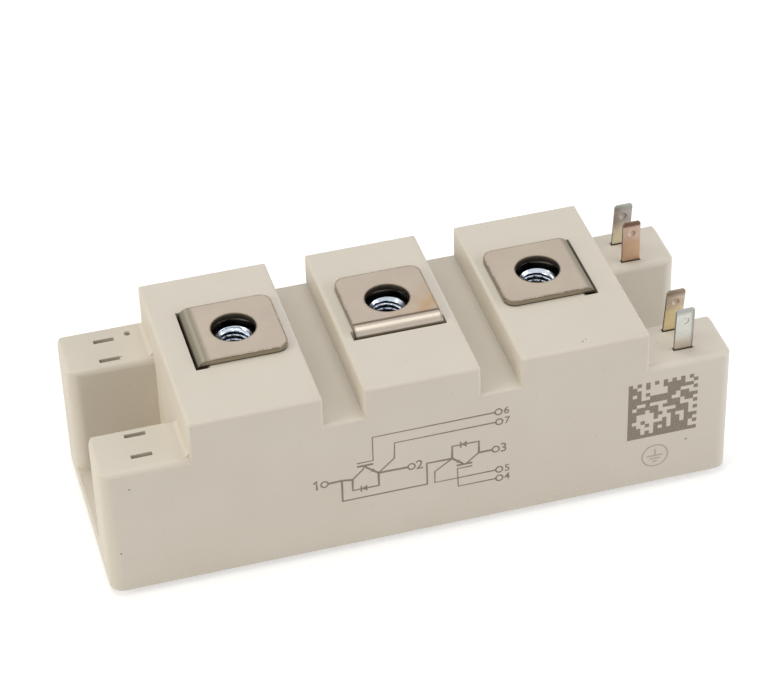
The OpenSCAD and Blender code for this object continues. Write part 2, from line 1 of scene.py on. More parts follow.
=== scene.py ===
import json
import math
import random
import bpy
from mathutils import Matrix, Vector


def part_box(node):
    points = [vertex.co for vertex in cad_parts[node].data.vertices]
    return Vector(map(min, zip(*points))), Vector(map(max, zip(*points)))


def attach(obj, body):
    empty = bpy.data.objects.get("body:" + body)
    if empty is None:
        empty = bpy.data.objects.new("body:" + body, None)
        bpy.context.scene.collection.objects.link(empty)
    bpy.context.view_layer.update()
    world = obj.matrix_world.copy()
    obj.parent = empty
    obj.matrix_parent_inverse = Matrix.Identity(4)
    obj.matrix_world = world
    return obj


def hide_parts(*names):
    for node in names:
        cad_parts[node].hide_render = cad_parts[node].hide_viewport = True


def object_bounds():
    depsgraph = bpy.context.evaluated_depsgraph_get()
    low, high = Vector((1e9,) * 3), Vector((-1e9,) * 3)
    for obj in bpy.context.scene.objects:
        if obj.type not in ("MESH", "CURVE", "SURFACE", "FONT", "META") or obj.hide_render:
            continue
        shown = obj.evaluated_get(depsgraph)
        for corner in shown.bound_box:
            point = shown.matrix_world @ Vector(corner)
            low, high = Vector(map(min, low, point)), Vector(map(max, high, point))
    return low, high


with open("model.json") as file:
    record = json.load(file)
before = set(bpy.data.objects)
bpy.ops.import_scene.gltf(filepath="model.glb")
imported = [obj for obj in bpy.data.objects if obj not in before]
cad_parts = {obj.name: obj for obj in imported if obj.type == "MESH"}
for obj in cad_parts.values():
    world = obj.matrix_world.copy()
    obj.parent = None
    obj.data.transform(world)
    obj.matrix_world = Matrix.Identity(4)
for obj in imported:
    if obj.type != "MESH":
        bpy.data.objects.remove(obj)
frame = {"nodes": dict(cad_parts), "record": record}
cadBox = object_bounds()
mm = 0.001
# distance to merge at in mm; angles of flat and of smooth surfaces in degrees
meshCare = {"merge": 0.001, "flat": 0.3, "smooth": 35}
print("frame loaded")


def clearSelection():
    if bpy.context.object and bpy.context.object.mode != "OBJECT":
        bpy.ops.object.mode_set(mode="OBJECT")
    bpy.ops.object.select_all(action="DESELECT")


def pick(piece):
    clearSelection()
    piece.select_set(True)
    bpy.context.view_layer.objects.active = piece


def applyAll(piece):
    pick(piece)
    for modifier in list(piece.modifiers):
        bpy.ops.object.modifier_apply(modifier=modifier.name)


def settle(piece):
    # place, turn and size go into the mesh
    pick(piece)
    bpy.ops.object.transform_apply(location=True, rotation=True, scale=True)


def joinAll(pieces, name):
    clearSelection()
    for piece in pieces:
        piece.select_set(True)
    bpy.context.view_layer.objects.active = pieces[0]
    bpy.ops.object.join()
    joined = bpy.context.object
    joined.name = name
    return joined


def dress(piece, material, slotName, *nodes):
    piece.data.materials.clear()
    piece.data.materials.append(material)
    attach(piece, "root")
    if nodes:
        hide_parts(*nodes)


def mergedCopy(nodeName, pieceName):
    # the node's triangles, merged and with the flat ones joined up again
    mesh = frame["nodes"][nodeName].data.copy()
    piece = bpy.data.objects.new(pieceName, mesh)
    bpy.context.scene.collection.objects.link(piece)
    pick(piece)
    if mesh.has_custom_normals:
        bpy.ops.mesh.customdata_custom_splitnormals_clear()
    bpy.ops.object.mode_set(mode="EDIT")
    bpy.ops.mesh.select_all(action="SELECT")
    bpy.ops.mesh.remove_doubles(threshold=meshCare["merge"] * mm)
    bpy.ops.mesh.dissolve_limited(angle_limit=math.radians(meshCare["flat"]))
    bpy.ops.object.mode_set(mode="OBJECT")
    return piece


def smooth(piece):
    pick(piece)
    bpy.ops.object.shade_smooth_by_angle(angle=math.radians(meshCare["smooth"]))
    weighted = piece.modifiers.new("evenShade", "WEIGHTED_NORMAL")
    weighted.keep_sharp = True
    applyAll(piece)


def softenEdges(piece, width, segments, sharperThan):
    bevel = piece.modifiers.new("softEdge", "BEVEL")
    bevel.width = width * mm
    bevel.segments = segments
    bevel.limit_method = "ANGLE"
    bevel.angle_limit = math.radians(sharperThan)
    bevel.miter_outer = "MITER_ARC"
    applyAll(piece)
    smooth(piece)


def mathNode(tree, operation, first, second=None, clamp=False):
    node = tree.nodes.new("ShaderNodeMath")
    node.operation = operation
    node.use_clamp = clamp
    for index, value in enumerate((first, second)):
        if value is None:
            continue
        if isinstance(value, (int, float)):
            node.inputs[index].default_value = value
        else:
            tree.links.new(value, node.inputs[index])
    return node.outputs[0]


# camera, light and floor, in mm and degrees
studio = {
    "cameraPlace": (-82.73, -316.20, 277.62),
    "cameraTurn": (52.026, 1.467, -15.785),
    "lens": 130.2,
    "sensor": 36,
    "clipFrom": 10,
    "clipTo": 50000,
    "skyColour": (1.0, 0.995, 0.985),
    "skyStrength": 0.30,
    "floorColour": (0.86, 0.86, 0.86),
    "floorGlow": 0.38,
    "floorSize": 12000,
    "floorDrop": 0.01,
}
lamps = {
    "leftTent": {"place": (-520, -120, 240), "size": 320, "power": 1.39, "colour": (1.0, 0.945, 0.82)},
    "topTent": {"place": (0, 100, 620), "size": 360, "power": 1.10, "colour": (0.985, 1.0, 1.0)},
    "rightTent": {"place": (520, -120, 240), "size": 320, "power": 0.93, "colour": (0.91, 0.95, 1.0)},
    "frontTent": {"place": (380, -420, 200), "size": 320, "power": 0.76, "colour": (1.0, 0.97, 1.0)},
    "backTent": {"place": (-260, 380, 460), "size": 320, "power": 0.55, "colour": (0.98, 0.97, 1.0)},
}

bpy.ops.object.camera_add(
    location=[v * mm for v in studio["cameraPlace"]],
    rotation=[math.radians(v) for v in studio["cameraTurn"]],
)
camera = bpy.context.object
camera.name = "camera"
camera.data.lens = studio["lens"]
camera.data.sensor_width = studio["sensor"]
camera.data.clip_start = studio["clipFrom"] * mm
camera.data.clip_end = studio["clipTo"] * mm
bpy.context.scene.camera = camera
bpy.context.scene.view_settings.view_transform = "Standard"

for lampName, lampValues in lamps.items():
    place = Vector(lampValues["place"]) * mm
    bpy.ops.object.light_add(type="AREA", location=place)
    lamp = bpy.context.object
    lamp.name = lampName
    lamp.rotation_euler = (-place).to_track_quat("-Z", "Y").to_euler()
    lamp.data.size = lampValues["size"] * mm
    lamp.data.energy = lampValues["power"]
    lamp.data.color = lampValues["colour"]


def seenDirectly(tree):
    # 1 for the camera, for reflections and for what shows through gel, 0 for light that falls on the part
    path = tree.nodes.new("ShaderNodeLightPath")
    seen = mathNode(tree, "MAXIMUM", path.outputs["Is Camera Ray"], path.outputs["Is Glossy Ray"])
    return mathNode(tree, "MAXIMUM", seen, path.outputs["Is Transmission Ray"])


world = bpy.data.worlds.new("studioSky")
bpy.context.scene.world = world
world.use_nodes = True
skyTree = world.node_tree
skyTree.nodes.clear()
skyLight = skyTree.nodes.new("ShaderNodeBackground")
skyLight.inputs["Color"].default_value = (*studio["skyColour"], 1)
skyLight.inputs["Strength"].default_value = studio["skyStrength"]
skySeen = skyTree.nodes.new("ShaderNodeBackground")
skySeen.inputs["Color"].default_value = (1, 1, 1, 1)
skyMix = skyTree.nodes.new("ShaderNodeMixShader")
skyOut = skyTree.nodes.new("ShaderNodeOutputWorld")
skyTree.links.new(seenDirectly(skyTree), skyMix.inputs[0])
skyTree.links.new(skyLight.outputs[0], skyMix.inputs[1])
skyTree.links.new(skySeen.outputs[0], skyMix.inputs[2])
skyTree.links.new(skyMix.outputs[0], skyOut.inputs["Surface"])

floorPaint = bpy.data.materials.new("floorPaint")
floorPaint.use_nodes = True
floorTree = floorPaint.node_tree
floorTree.nodes.clear()
floorDiffuse = floorTree.nodes.new("ShaderNodeBsdfDiffuse")
floorDiffuse.inputs["Color"].default_value = (*studio["floorColour"], 1)
floorGlow = floorTree.nodes.new("ShaderNodeEmission")
floorSum = floorTree.nodes.new("ShaderNodeAddShader")
floorOut = floorTree.nodes.new("ShaderNodeOutputMaterial")
floorLift = mathNode(floorTree, "MULTIPLY", seenDirectly(floorTree), studio["floorGlow"])
floorTree.links.new(floorLift, floorGlow.inputs["Strength"])
floorTree.links.new(floorDiffuse.outputs[0], floorSum.inputs[0])
floorTree.links.new(floorGlow.outputs[0], floorSum.inputs[1])
floorTree.links.new(floorSum.outputs[0], floorOut.inputs["Surface"])

clearSelection()
floorHeight = cadBox[0][2] - studio["floorDrop"] * mm
bpy.ops.mesh.primitive_plane_add(size=studio["floorSize"] * mm, location=(0, 0, floorHeight))
floor = bpy.context.object
floor.name = "floor"
floor.data.materials.append(floorPaint)
print("studio ready")


# effects that several materials share
def newGroup(name, inputs, outputs):
    group = bpy.data.node_groups.new(name, "ShaderNodeTree")
    for label, value in inputs:
        item = group.interface.new_socket(name=label, in_out="INPUT", socket_type="NodeSocketFloat")
        item.default_value = value
    for label in outputs:
        group.interface.new_socket(name=label, in_out="OUTPUT", socket_type="NodeSocketFloat")
    return group, group.nodes.new("NodeGroupInput"), group.nodes.new("NodeGroupOutput")


def rampNode(tree, value, low, high, toLow=0.0, toHigh=1.0):
    node = tree.nodes.new("ShaderNodeMapRange")
    node.inputs["From Min"].default_value = low
    node.inputs["From Max"].default_value = high
    node.inputs["To Min"].default_value = toLow
    node.inputs["To Max"].default_value = toHigh
    tree.links.new(value, node.inputs["Value"])
    return node.outputs[0]


def pointsInMm(tree, stretch=(1, 1, 1), turn=(0, 0, 0)):
    coordinates = tree.nodes.new("ShaderNodeTexCoord")
    mapping = tree.nodes.new("ShaderNodeMapping")
    mapping.inputs["Scale"].default_value = [v / mm for v in stretch]
    mapping.inputs["Rotation"].default_value = turn
    tree.links.new(coordinates.outputs["Object"], mapping.inputs["Vector"])
    return mapping.outputs[0]


def noiseNode(tree, vector, scale, detail, rough=0.5):
    node = tree.nodes.new("ShaderNodeTexNoise")
    node.inputs["Detail"].default_value = detail
    node.inputs["Roughness"].default_value = rough
    if isinstance(scale, (int, float)):
        node.inputs["Scale"].default_value = scale
    else:
        tree.links.new(scale, node.inputs["Scale"])
    tree.links.new(vector, node.inputs["Vector"])
    return node.outputs[0]


# size of a speck as a share of its cell, and the broad noise that leaves most cells without one
speckPlan = {"size": 0.07, "spread": 0.31, "above": 0.62}
usualFullAt = 0.16  # how far a surface has to turn before its edge wear is full
scratchPlan = {
    # stretch, and turn about Z in radians, of the two sets of marks
    "sets": [((0.12, 3.2, 1), 0.5), ((0.1, 4.0, 1), 2.2)],
    "thin": 0.012,
    "brushing": (0.15, 6, 6),
}


def buildMoulded():
    # fine satin grain with broad, faint clouds and a few specks
    group, given, result = newGroup(
        "mouldedSurface",
        [("Grain Scale", 5.0), ("Cloud Scale", 0.06), ("Speck Scale", 0.8), ("Speck Amount", 0.5)],
        ["Grain", "Clouds", "Specks"],
    )
    points = pointsInMm(group)
    grain = noiseNode(group, points, given.outputs["Grain Scale"], 4, 0.6)
    clouds = noiseNode(group, points, given.outputs["Cloud Scale"], 3, 0.6)
    cells = group.nodes.new("ShaderNodeTexVoronoi")
    group.links.new(points, cells.inputs["Vector"])
    group.links.new(given.outputs["Speck Scale"], cells.inputs["Scale"])
    nearSpeck = mathNode(group, "LESS_THAN", cells.outputs["Distance"], speckPlan["size"])
    spread = noiseNode(group, points, speckPlan["spread"], 0)
    shown = mathNode(group, "GREATER_THAN", spread, speckPlan["above"])
    specks = mathNode(group, "MULTIPLY", nearSpeck, shown)
    specks = mathNode(group, "MULTIPLY", specks, given.outputs["Speck Amount"])
    group.links.new(grain, result.inputs["Grain"])
    group.links.new(rampNode(group, clouds, 0.35, 0.65), result.inputs["Clouds"])
    group.links.new(specks, result.inputs["Specks"])
    return group


def buildEdgeWear():
    # where the surface turns sharply, broken up by noise
    values = [("Radius", 0.3), ("Break Scale", 1.5), ("Amount", 1.0), ("Full At", usualFullAt)]
    group, given, result = newGroup("edgeWearAndShade", values, ["Mask"])
    bevel = group.nodes.new("ShaderNodeBevel")
    bevel.samples = 6
    group.links.new(mathNode(group, "MULTIPLY", given.outputs["Radius"], mm), bevel.inputs["Radius"])
    geometry = group.nodes.new("ShaderNodeNewGeometry")
    facing = group.nodes.new("ShaderNodeVectorMath")
    facing.operation = "DOT_PRODUCT"
    group.links.new(bevel.outputs["Normal"], facing.inputs[0])
    group.links.new(geometry.outputs["Normal"], facing.inputs[1])
    turned = mathNode(group, "SUBTRACT", 1.0, facing.outputs["Value"])
    edge = mathNode(group, "DIVIDE", turned, given.outputs["Full At"], True)
    broken = noiseNode(group, pointsInMm(group), given.outputs["Break Scale"], 4, 0.65)
    mask = mathNode(group, "MULTIPLY", edge, rampNode(group, broken, 0.3, 0.6))
    mask = mathNode(group, "MULTIPLY", mask, given.outputs["Amount"], True)
    group.links.new(mask, result.inputs["Mask"])
    return group


def buildScratches():
    # thin marks in two directions, and a brushed grain under them
    group, given, result = newGroup("scratches", [("Scale", 1.0), ("Amount", 1.0)], ["Mask", "Brushing"])
    masks = []
    for stretch, turn in scratchPlan["sets"]:
        marks = noiseNode(group, pointsInMm(group, stretch, (0, 0, turn)), given.outputs["Scale"], 3, 0.55)
        away = mathNode(group, "ABSOLUTE", mathNode(group, "SUBTRACT", marks, 0.5))
        masks.append(rampNode(group, away, 0.0, scratchPlan["thin"], 1.0, 0.0))
    both = mathNode(group, "MAXIMUM", masks[0], masks[1])
    both = mathNode(group, "MULTIPLY", both, given.outputs["Amount"], True)
    along = pointsInMm(group, scratchPlan["brushing"])
    brushing = noiseNode(group, along, given.outputs["Scale"], 4, 0.6)
    group.links.new(both, result.inputs["Mask"])
    group.links.new(brushing, result.inputs["Brushing"])
    return group


moulded = buildMoulded()
edgeWearAndShade = buildEdgeWear()
scratches = buildScratches()


def placeGroup(tree, group, **values):
    node = tree.nodes.new("ShaderNodeGroup")
    node.node_tree = group
    for label, value in values.items():
        node.inputs[label.replace("_", " ")].default_value = value
    return node


def mixColour(tree, share, first, second):
    node = tree.nodes.new("ShaderNodeMix")
    node.data_type = "RGBA"
    for socket, value in ((node.inputs[0], share), (node.inputs[6], first), (node.inputs[7], second)):
        if isinstance(value, (int, float)):
            socket.default_value = value
        elif isinstance(value, (tuple, list)):
            socket.default_value = (*value, 1)
        else:
            tree.links.new(value, socket)
    return node.outputs[2]


def startMaterial(name, **plain):
    material = bpy.data.materials.new(name)
    material.use_nodes = True
    tree = material.node_tree
    shader = tree.nodes["Principled BSDF"]
    for label, value in plain.items():
        shader.inputs[label.replace("_", " ")].default_value = value
    return material, tree, shader


bumpDepths = {"plastic": 0.05, "metal": 0.02}  # in mm
# painted shade on a hole's wall fades out over this span outside it
holeShadeFade = (0.05, 0.2)  # the dark wall of a hole ends this far outside it, in mm


def addBump(tree, shader, height, strength, distance):
    bump = tree.nodes.new("ShaderNodeBump")
    bump.inputs["Strength"].default_value = strength
    bump.inputs["Distance"].default_value = distance * mm
    tree.links.new(height, bump.inputs["Height"])
    tree.links.new(bump.outputs["Normal"], shader.inputs["Normal"])


def spotsAt(tree, spots):
    # soft round stains, each given as a place and a radius
    mask = None
    points = pointsInMm(tree)
    for place, radius in spots:
        away = tree.nodes.new("ShaderNodeVectorMath")
        away.operation = "DISTANCE"
        away.inputs[1].default_value = place
        tree.links.new(points, away.inputs[0])
        spot = rampNode(tree, away.outputs["Value"], 0.6 * radius, radius, 1.0, 0.0)
        mask = spot if mask is None else mathNode(tree, "MAXIMUM", mask, spot)
    return mask


def plasticMaterial(name, values):
    material, tree, shader = startMaterial(name, IOR=1.5)
    surface = placeGroup(tree, moulded, Grain_Scale=values["grainScale"], Speck_Amount=values["specks"])
    worn = placeGroup(tree, edgeWearAndShade, Radius=values["wearRadius"], Amount=values["wear"])
    colour = mixColour(tree, surface.outputs["Clouds"], values["colour"], values["cloudColour"])
    colour = mixColour(tree, worn.outputs["Mask"], colour, values["wornColour"])
    colour = mixColour(tree, surface.outputs["Specks"], colour, values["speckColour"])
    colour = mixColour(tree, spotsAt(tree, values["stains"]), colour, values["stainColour"])
    tree.links.new(colour, shader.inputs["Base Color"])
    rough = rampNode(tree, surface.outputs["Grain"], 0.0, 1.0, *values["roughness"])
    tree.links.new(rough, shader.inputs["Roughness"])
    addBump(tree, shader, surface.outputs["Grain"], values["bump"], bumpDepths["plastic"])
    return material


def bandAcross(tree, band):
    # 0 to 1 across a stretch along one axis, which may be turned about Z, with a patchy rim
    split = tree.nodes.new("ShaderNodeSeparateXYZ")
    turned = pointsInMm(tree, turn=(0, 0, math.radians(band.get("turn", 0))))
    tree.links.new(turned, split.inputs[0])
    share = rampNode(tree, split.outputs[band["axis"]], *band["span"])
    if "patches" in band:
        patches = noiseNode(tree, pointsInMm(tree), band["patches"], 3)
        share = mathNode(tree, "MULTIPLY", share, rampNode(tree, patches, 0.25, 0.6))
    return share


def turnedTo(tree, axis, sign):
    # the faces that look along one axis
    geometry = tree.nodes.new("ShaderNodeNewGeometry")
    split = tree.nodes.new("ShaderNodeSeparateXYZ")
    tree.links.new(geometry.outputs["Normal"], split.inputs[0])
    return rampNode(tree, split.outputs[axis], 0.5 * sign, 0.8 * sign)


def nearAxis(tree, axisX, axisY, radius):
    # 1 on the wall of an upright hole, 0 a little way out
    flat = pointsInMm(tree, (1, 1, 0))
    away = tree.nodes.new("ShaderNodeVectorMath")
    away.operation = "DISTANCE"
    away.inputs[1].default_value = (axisX, axisY, 0)
    tree.links.new(flat, away.inputs[0])
    return rampNode(tree, away.outputs["Value"], radius + holeShadeFade[0], radius + holeShadeFade[1], 1.0, 0.0)


def awayFromNuts(tree):
    # distance from the nearest of the three upright axes of the nuts
    split = tree.nodes.new("ShaderNodeSeparateXYZ")
    tree.links.new(pointsInMm(tree), split.inputs[0])
    alongX = mathNode(tree, "PINGPONG", split.outputs["X"], terminals["pitch"] / 2)
    alongY = mathNode(tree, "SUBTRACT", split.outputs["Y"], terminals["middle"])
    squares = mathNode(tree, "MULTIPLY", alongX, alongX)
    squares = mathNode(tree, "ADD", squares, mathNode(tree, "MULTIPLY", alongY, alongY))
    return mathNode(tree, "SQRT", squares), split.outputs["Z"]


def metalMaterial(name, values):
    material, tree, shader = startMaterial(name, Metallic=1.0)
    marks = placeGroup(tree, scratches, Amount=values["scratches"])
    fullAt = values.get("wearFull", usualFullAt)
    worn = placeGroup(tree, edgeWearAndShade, Radius=values["wearRadius"], Amount=values["wear"], Full_At=fullAt)
    tarnish = noiseNode(tree, pointsInMm(tree), values["tarnishScale"], 4, 0.6)
    colour = mixColour(tree, rampNode(tree, tarnish, 0.35, 0.65), values["colour"], values["tarnish"])
    # bands across the part: painted shade and painted reflection on busbars and blades, and one stained
    # patch
    for band in values.get("bands", []):
        colour = mixColour(tree, bandAcross(tree, band), colour, band["colour"])
    for cut in values.get("cuts", []):
        colour = mixColour(tree, turnedTo(tree, cut["axis"], cut["sign"]), colour, cut["colour"])
    colour = mixColour(tree, marks.outputs["Mask"], colour, values["markColour"])
    # edge colour: wear, and on the busbars also a dark line that is partly painted shade
    colour = mixColour(tree, worn.outputs["Mask"], colour, values["wornColour"])
    # painted shade in the thread's grooves and on the nut's flat round its mouth
    for ring in values.get("rings", []):
        away, height = awayFromNuts(tree)
        share = rampNode(tree, away, *ring["span"])
        share = mathNode(tree, "MULTIPLY", share, rampNode(tree, height, *ring["height"]))
        colour = mixColour(tree, share, colour, ring["colour"])
    # painted shade: a dark line at the foot of a busbar or blade
    if "foot" in values:
        colour = mixColour(tree, bandAcross(tree, values["foot"]), colour, values["foot"]["colour"])
    # painted shade on the wall of the busbar's hole, fading out just past its rim
    if "hole" in values:
        wall = nearAxis(tree, values["hole"], terminals["middle"], terminals["hole"])
        colour = mixColour(tree, wall, colour, values["holeShadeColour"])
    tree.links.new(colour, shader.inputs["Base Color"])
    rough = rampNode(tree, marks.outputs["Brushing"], 0.0, 1.0, *values["roughness"])
    tree.links.new(rough, shader.inputs["Roughness"])
    addBump(tree, shader, marks.outputs["Brushing"], values["bump"], bumpDepths["metal"])
    return material


plasticTones = {
    "colour": (0.690, 0.635, 0.545),
    "cloudColour": (0.668, 0.612, 0.522),
    "wornColour": (0.735, 0.690, 0.610),
    "speckColour": (0.34, 0.29, 0.22),
    "stainColour": (0.17, 0.16, 0.12),
    "grainScale": 5.0,
    "specks": 0.6,
    "wearRadius": 0.4,
    "wear": 0.6,
    "roughness": (0.48, 0.66),
    "bump": 0.25,
    # middle and radius of each dark spot, in mm
    "stains": [
        ((-36.6, 14.4, 22.5), 0.55),
        ((24.18, -15.62, 29.0), 0.17),
        ((24.77, -15.27, 29.0), 0.14),
        ((40.15, -17.0, 7.98), 0.2),
        ((-38.58, 9.2, 22.6), 0.17),
        ((-43.0, -17.0, 19.6), 0.16),
        ((-45.1, -17.0, 8.1), 0.17),
    ],
}
creamPlastic = plasticMaterial("creamPlastic", plasticTones)

# the three terminals, in mm
terminals = {"pitch": 23, "middle": 1.6, "hole": 3.25}
nutPlan = {
    "pitch": 0.8,
    "minorR": 2.1,
    "threadDepth": 0.42,
    "lead": 0.5,
    "around": 72,
    "cuts": 72,
    "over": 0.4,
    "cornersAround": 96,
    "cornerSlack": 0.01,
    "flatSlack": 0.1,
    "spare": 1,
    "turnEach": 120,
}
nutLow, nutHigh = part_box("phase_nut")
leadFoot = nutHigh.z / mm - nutPlan["lead"]
mouthR = nutPlan["minorR"] + nutPlan["lead"]

nutTones = {
    "colour": (0.62, 0.68, 0.76),
    "tarnish": (0.50, 0.57, 0.66),
    "wornColour": (0.80, 0.83, 0.86),
    "markColour": (0.42, 0.46, 0.52),
    "tarnishScale": 0.6,
    "scratches": 0.3,
    "wear": 0.5,
    "wearRadius": 0.12,
    "roughness": (0.16, 0.30),
    "bump": 0.06,
    # painted shade in the grooves of the thread, and painted shade on the flat round the mouth, which lies
    # in the gap under the busbar
    "rings": [
        {"span": (2.2, 2.38), "height": (leadFoot + 0.1, leadFoot - 0.1), "colour": (0.030, 0.045, 0.075)},
        {"span": (mouthR, mouthR + 0.1), "height": (0.0, 1.0), "colour": (0.055, 0.060, 0.065)},
    ],
}
zincNut = metalMaterial("zincNut", nutTones)

plateTones = {
    "colour": (0.55, 0.54, 0.52),
    "tarnish": (0.48, 0.46, 0.43),
    "wornColour": (0.70, 0.66, 0.60),
    "markColour": (0.40, 0.38, 0.35),
    "tarnishScale": 0.22,
    "scratches": 0.8,
    "wear": 0.5,
    "wearRadius": 0.25,
    "roughness": (0.30, 0.46),
    "bump": 0.12,
}
nickelPlate = metalMaterial("nickelPlate", plateTones)

platingTones = {
    "colour": (0.475, 0.405, 0.325),
    "tarnish": (0.450, 0.375, 0.315),
    # a dark line round the pad's edges: a brown burr and tarnish, and painted shade of the gap and contact
    # shadow along them
    "wornColour": (0.165, 0.130, 0.090),
    "markColour": (0.40, 0.345, 0.28),
    "tarnishScale": 0.22,
    "scratches": 0.25,
    "wear": 1.4,
    "wearRadius": 0.5,
    "wearFull": 0.045,
    # painted shade for the wall of the hole
    "holeShadeColour": (0.115, 0.090, 0.065),
    "roughness": (0.30, 0.46),
    "bump": 0.1,
}
print("materials ready")

# rounding of edges in mm, on edges sharper than an angle in degrees
softening = {
    "housing": {"width": 0.14, "segments": 2, "sharperThan": 40},
    "baseplate": {"width": 0.25, "segments": 2, "sharperThan": 60},
    "busbar": {"width": 0.12, "segments": 2, "sharperThan": 60},
    "blade": {"width": 0.05, "segments": 2, "sharperThan": 60},
    "nut": {"width": 0.06, "segments": 1, "sharperThan": 50},
}

housing = mergedCopy("housing", "housingShell")
softenEdges(housing, **softening["housing"])
dress(housing, creamPlastic, "housing", "housing")

basePlate = mergedCopy("baseplate", "coolingPlate")
softenEdges(basePlate, **softening["baseplate"])
dress(basePlate, nickelPlate, "baseplate", "baseplate")

# each busbar: bands of painted shade and painted reflection over its bend and by its slot (the negative bar
# also has a stained patch), cut faces and the dark wall of its hole, which is painted shade
cutEdge = (0.330, 0.295, 0.225)
# painted contact shadow: a dark line along the foot of each pad, where it sits on the plastic
footShadowLine = {"axis": "Z", "span": (29.3, 29.1), "colour": (0.095, 0.075, 0.050)}
busbars = {
    "phase": {
        "hole": -terminals["pitch"],
        "bands": [
            # phase bar: painted dark reflection on the bend, then a near-black line of painted shade by the
            # slot
            {"axis": "X", "span": (-27.7, -28.5), "colour": (0.215, 0.195, 0.145)},
            {"axis": "X", "span": (-29.6, -29.85), "colour": (0.070, 0.056, 0.040)},
        ],
        "cuts": [{"axis": "Y", "sign": -1, "colour": cutEdge}],
    },
    "negative": {
        "hole": 0,
        "bands": [
            {"axis": "X", "turn": 50, "span": (0.8, 4.8), "colour": (0.450, 0.300, 0.165), "patches": 0.35},
            # negative bar, after its stained patch: painted shade where the bend starts, a painted
            # reflection tone on the bend strip, and painted shade by the slot
            {"axis": "Y", "span": (-2.85, -3.1), "colour": (0.150, 0.115, 0.080)},
            {"axis": "Y", "span": (-3.35, -3.55), "colour": (0.430, 0.375, 0.315)},
            {"axis": "Y", "span": (-5.1, -5.35), "colour": (0.090, 0.075, 0.055)},
        ],
        "cuts": [{"axis": "X", "sign": -1, "colour": cutEdge}],
    },
    "positive": {
        "hole": terminals["pitch"],
        "bands": [
            # positive bar: painted dark reflection on the bend, then a near-black line of painted shade by
            # the slot
            {"axis": "X", "span": (28.4, 29.0), "colour": (0.300, 0.270, 0.200)},
            {"axis": "X", "span": (29.5, 29.8), "colour": (0.070, 0.056, 0.040)},
        ],
        "cuts": [
            {"axis": "Y", "sign": -1, "colour": cutEdge},
            {"axis": "X", "sign": -1, "colour": cutEdge},
        ],
    },
}
for barName, barValues in busbars.items():
    bar = mergedCopy(barName + "_terminal", barName + "Busbar")
    softenEdges(bar, **softening["busbar"])
    plating = metalMaterial(barName + "Plating", {**platingTones, **barValues, "foot": footShadowLine})
    dress(bar, plating, "busbar", barName + "_terminal")

bladeTones = {
    "wornColour": (0.20, 0.17, 0.13),
    "tarnishScale": 0.8,
    "scratches": 0.3,
    "wear": 0.8,
    "wearRadius": 0.1,
    "roughness": (0.34, 0.48),
    "bump": 0.08,
}
# height above the arm, how far the dark line of painted shade at the blade's foot reaches and its colour,
# and the share of the blade's colour on its left cut face, which is painted shade
bladePlan = {
    "tall": 7.1,
    "footTop": 0.3,
    "footFull": 0.1,
    "footShadowColour": (0.20, 0.17, 0.12),
    "leftShade": 0.45,
}
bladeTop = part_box("gate_tab_high")[1].z / mm
bladeFoot = bladeTop - bladePlan["tall"]
# bands up each blade: a painted reflection over its lower part, and darker near the tip; the last blade
# also has a darker strip between x 41.3 and 41.6 mm
blades = {
    "gate_tab_high": {
        "slot": "tab_grey",
        "colour": (0.50, 0.48, 0.45),
        "tarnish": (0.44, 0.41, 0.38),
        "markColour": (0.36, 0.34, 0.31),
        "bands": [
            {"axis": "Z", "span": (bladeFoot + 4.2, bladeFoot + 2.6), "colour": (0.84, 0.80, 0.62)},
            {"axis": "Z", "span": (bladeTop - 1.2, bladeTop - 0.5), "colour": (0.36, 0.36, 0.34)},
        ],
    },
    "emitter_tab_high": {
        "slot": "tab_copper",
        "colour": (0.66, 0.50, 0.41),
        "tarnish": (0.58, 0.43, 0.35),
        "markColour": (0.40, 0.28, 0.20),
        "bands": [
            {"axis": "Z", "span": (bladeFoot + 4.6, bladeFoot + 3.4), "colour": (0.60, 0.40, 0.27)},
            {"axis": "Z", "span": (bladeTop - 0.9, bladeTop - 0.5), "colour": (0.16, 0.10, 0.07)},
        ],
    },
    "emitter_tab_low": {
        "slot": "tab_gold",
        "colour": (0.58, 0.47, 0.38),
        "tarnish": (0.62, 0.52, 0.44),
        "markColour": (0.36, 0.28, 0.18),
        "bands": [
            {"axis": "Z", "span": (bladeFoot + 4.8, bladeFoot + 3.4), "colour": (0.86, 0.75, 0.48)},
            {"axis": "Z", "span": (bladeTop - 1.2, bladeTop - 0.5), "colour": (0.27, 0.21, 0.16)},
        ],
    },
    "gate_tab_low": {
        "slot": "tab_silver",
        "colour": (0.60, 0.61, 0.56),
        "tarnish": (0.55, 0.55, 0.50),
        "markColour": (0.42, 0.40, 0.38),
        "bands": [
            {"axis": "Z", "span": (bladeFoot + 2.6, bladeFoot + 1.2), "colour": (0.64, 0.57, 0.50)},
            {"axis": "X", "span": (41.3, 41.6), "colour": (0.33, 0.30, 0.28)},
            {"axis": "Z", "span": (bladeTop - 1.0, bladeTop - 0.4), "colour": (0.36, 0.36, 0.34)},
        ],
    },
}
for bladeName, bladeValues in blades.items():
    pieceName = bladeName.replace("_tab_", "Blade").replace("high", "High").replace("low", "Low")
    blade = mergedCopy(bladeName, pieceName)
    softenEdges(blade, **softening["blade"])
    # painted shade: a dark line where each blade leaves its slot, and a darker left cut face
    footSpan = (bladeFoot + bladePlan["footTop"], bladeFoot + bladePlan["footFull"])
    foot = {"axis": "Z", "span": footSpan, "colour": bladePlan["footShadowColour"]}
    leftShadeColour = tuple(bladePlan["leftShade"] * v for v in bladeValues["colour"])
    cut = {"axis": "X", "sign": -1, "colour": leftShadeColour}
    bladeMetal = metalMaterial(pieceName + "Metal", {
        **bladeTones, **bladeValues, "foot": foot, "cuts": [cut],
    })
    dress(blade, bladeMetal, bladeValues["slot"], bladeName)
print("housing, plate, busbars and blades done")


